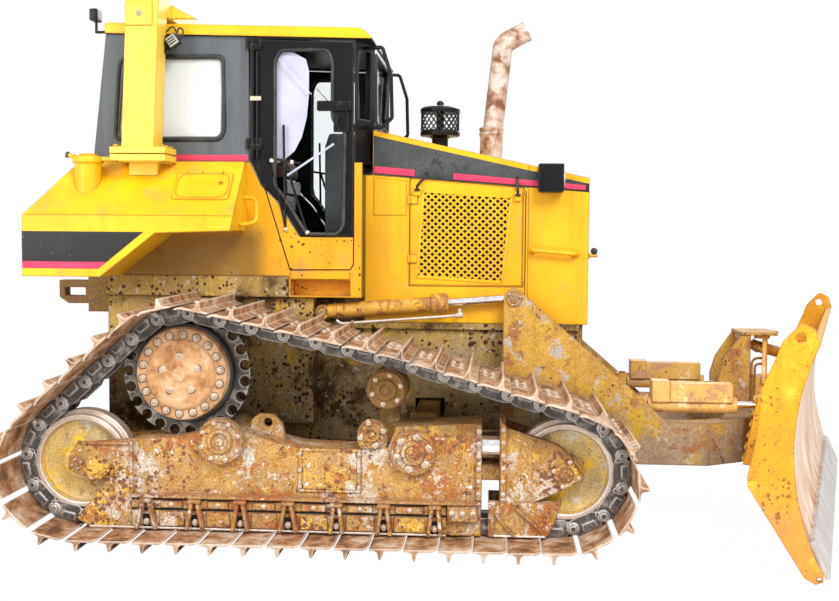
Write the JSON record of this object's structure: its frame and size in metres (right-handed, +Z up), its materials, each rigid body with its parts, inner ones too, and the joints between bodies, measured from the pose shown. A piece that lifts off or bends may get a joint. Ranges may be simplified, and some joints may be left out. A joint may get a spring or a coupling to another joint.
{
  "type": "crawler bulldozer",
  "caption": "Crawler bulldozer with raised sprockets, enclosed cab under a rollover frame, and a blade that lifts, angles and tilts on cylinders.",
  "frame": {"origin": "on the ground, on the centre plane, under the axle of the rear idlers", "axes": "+X forward to the blade, +Y to the driver's left, +Z up"},
  "size_m": [5.2592, 3.0296, 2.9399],
  "materials": {
    "yellow_paint": "glossy yellow enamel, dusty",
    "worn_yellow": "weathered yellow paint with dirt and rust",
    "black_paint": "satin black",
    "engine_paint": "oily paint",
    "track_steel": "rusted steel with polished edges",
    "dark_steel": "dark steel",
    "rusty_steel": "rust and heat stain",
    "bare_steel": "scoured bare steel",
    "rod_chrome": "polished chrome",
    "window_glass": "clear tinted glass",
    "seat_fabric": "dark cloth",
    "dark_plastic": "matte black"
  },
  "bodies": {
    "machine": {"cab_base": "yellow_paint", "cab_body": "black_paint", "cab_roof": "yellow_paint", "carrier_rollers": "worn_yellow", "console": "dark_plastic", "control_levers": "dark_plastic", "driver_seat": "seat_fabric", "engine_block": "engine_paint", "equalizer_bar": "worn_yellow", "exhaust_stack": "rusty_steel", "fender_left": "yellow_paint", "fender_right": "yellow_paint", "final_drives": "worn_yellow", "front_grille": "black_paint", "front_handrails": "black_paint", "grab_bars": "yellow_paint", "headlights": "black_paint", "hood": "yellow_paint", "hood_sides": "yellow_paint", "idler_yokes": "worn_yellow", "idlers": "worn_yellow", "main_frame": "worn_yellow", "precleaner": "dark_plastic", "radiator_guard": "yellow_paint", "rear_window": "window_glass", "rollover_frame": "yellow_paint", "side_windows": "window_glass", "sprockets": "dark_steel", "tow_hitch": "worn_yellow", "track_frame_left": "worn_yellow", "track_frame_right": "worn_yellow", "track_left": "track_steel", "track_right": "track_steel", "track_rollers": "dark_steel", "windshield": "window_glass", "work_lights": "black_paint"},
    "cab_door_right": {"cab_door_right": "black_paint", "door_glass_right": "window_glass"},
    "cab_door_left": {"cab_door_left": "black_paint", "door_glass_left": "window_glass"},
    "blade": {"blade": "worn_yellow", "cutting_edge": "bare_steel"},
    "blade_swivel": {"blade_swivel": "worn_yellow", "tilt_hoses": "dark_plastic"},
    "push_frame": {"push_frame": "worn_yellow"},
    "tilt_barrel": {"tilt_barrel": "worn_yellow"},
    "tilt_rod": {"tilt_rod": "rod_chrome"},
    "engine_door_right": {"engine_door_right": "yellow_paint"},
    "engine_door_left": {"engine_door_left": "yellow_paint"},
    "fender_lid_right": {"fender_lid_right": "yellow_paint"},
    "fender_lid_left": {"fender_lid_left": "yellow_paint"},
    "lift_barrel_right": {"lift_barrel_right": "worn_yellow"},
    "lift_barrel_left": {"lift_barrel_left": "worn_yellow"},
    "lift_rod_right": {"lift_rod_right": "rod_chrome"},
    "lift_rod_left": {"lift_rod_left": "rod_chrome"},
    "angle_barrel_right": {"angle_barrel_right": "worn_yellow"},
    "angle_barrel_left": {"angle_barrel_left": "worn_yellow"},
    "angle_rod_right": {"angle_rod_right": "rod_chrome"},
    "angle_rod_left": {"angle_rod_left": "rod_chrome"}
  },
  "joints": [
    {"name": "blade_lift", "type": "hinge", "parent": "machine", "child": "push_frame", "pos_m": [2.35, 0, 0.5], "axis": [0, -1, 0], "range_deg": [-11, 24]},
    {"name": "blade_angle", "type": "hinge", "parent": "push_frame", "child": "blade_swivel", "pos_m": [3.85, 0, 0.69], "axis": [0, 0, 1], "range_deg": [-7.5, 42.5]},
    {"name": "blade_tilt", "type": "hinge", "parent": "blade_swivel", "child": "blade", "pos_m": [3.85, 0, 0.47], "axis": [0.9537, -0.3007, 0], "range_deg": [-7.5, 7.5]},
    {"name": "lift_barrel_right", "type": "hinge", "parent": "machine", "child": "lift_barrel_right", "pos_m": [1.225, -0.53, 1.195], "axis": [0, -1, 0], "range_deg": [-1.45, 0.67]},
    {"name": "lift_rod_right", "type": "slide", "parent": "lift_barrel_right", "child": "lift_rod_right", "axis": [0.9964, 0, 0.0844], "range_m": [-0.3215, 0.1475]},
    {"name": "angle_barrel_right", "type": "hinge", "parent": "push_frame", "child": "angle_barrel_right", "pos_m": [3.06, -0.5, 0.69], "axis": [0, 0, 1], "range_deg": [-0.31, 1.71]},
    {"name": "angle_rod_right", "type": "slide", "parent": "angle_barrel_right", "child": "angle_rod_right", "axis": [1, -0.0097, 0], "range_m": [-0.0665, 0.3745]},
    {"name": "lift_barrel_left", "type": "hinge", "parent": "machine", "child": "lift_barrel_left", "pos_m": [1.225, 0.53, 1.195], "axis": [0, -1, 0], "range_deg": [-1.45, 0.67]},
    {"name": "lift_rod_left", "type": "slide", "parent": "lift_barrel_left", "child": "lift_rod_left", "axis": [0.9964, 0, 0.0844], "range_m": [-0.3215, 0.1475]},
    {"name": "angle_barrel_left", "type": "hinge", "parent": "push_frame", "child": "angle_barrel_left", "pos_m": [3.06, 0.5, 0.69], "axis": [0, 0, 1], "range_deg": [-0.27, 1.5]},
    {"name": "angle_rod_left", "type": "slide", "parent": "angle_barrel_left", "child": "angle_rod_left", "axis": [0.9999, -0.0149, 0], "range_m": [-0.3745, 0.0665]},
    {"name": "tilt_barrel", "type": "hinge", "parent": "blade_swivel", "child": "tilt_barrel", "pos_m": [3.79982, -0.02612, 0.985], "axis": [0.6538, -0.6417, -0.4009], "range_deg": [-5.54, 5.54]},
    {"name": "tilt_rod", "type": "slide", "parent": "tilt_barrel", "child": "tilt_rod", "axis": [0.6242, 0.7569, -0.1935], "range_m": [-0.0606, 0.0606]},
    {"name": "cab_door_right", "type": "hinge", "parent": "machine", "child": "cab_door_right", "pos_m": [0.81, -0.6325, 2.2], "axis": [0, 0, -1], "range_deg": [0, 90]},
    {"name": "engine_door_right", "type": "hinge", "parent": "machine", "child": "engine_door_right", "pos_m": [1.715, -0.4835, 1.65], "axis": [0, 0, -1], "range_deg": [0, 110]},
    {"name": "fender_lid_right", "type": "hinge", "parent": "machine", "child": "fender_lid_right", "pos_m": [0.6, -0.75635, 1.97876], "axis": [-1, 0, 0], "range_deg": [0, 100]},
    {"name": "cab_door_left", "type": "hinge", "parent": "machine", "child": "cab_door_left", "pos_m": [0.81, 0.6325, 2.2], "axis": [0, 0, 1], "range_deg": [0, 90]},
    {"name": "engine_door_left", "type": "hinge", "parent": "machine", "child": "engine_door_left", "pos_m": [1.715, 0.4835, 1.65], "axis": [0, 0, 1], "range_deg": [0, 110]},
    {"name": "fender_lid_left", "type": "hinge", "parent": "machine", "child": "fender_lid_left", "pos_m": [0.6, 0.75635, 1.97876], "axis": [1, 0, 0], "range_deg": [0, 100]}
  ],
  "couplings": [
    {"joint": "lift_barrel_right", "follows": "blade_lift", "ratio": -0.06},
    {"joint": "lift_rod_right", "follows": "blade_lift", "m_per_rad": -0.766},
    {"joint": "angle_barrel_right", "follows": "blade_angle", "ratio": 0.04},
    {"joint": "angle_rod_right", "follows": "blade_angle", "m_per_rad": 0.504},
    {"joint": "lift_barrel_left", "follows": "blade_lift", "ratio": -0.06},
    {"joint": "lift_rod_left", "follows": "blade_lift", "m_per_rad": -0.766},
    {"joint": "angle_barrel_left", "follows": "blade_angle", "ratio": 0.035},
    {"joint": "angle_rod_left", "follows": "blade_angle", "m_per_rad": -0.504},
    {"joint": "tilt_barrel", "follows": "blade_tilt", "ratio": 0.7366},
    {"joint": "tilt_rod", "follows": "blade_tilt", "m_per_rad": -0.4607}
  ]
}
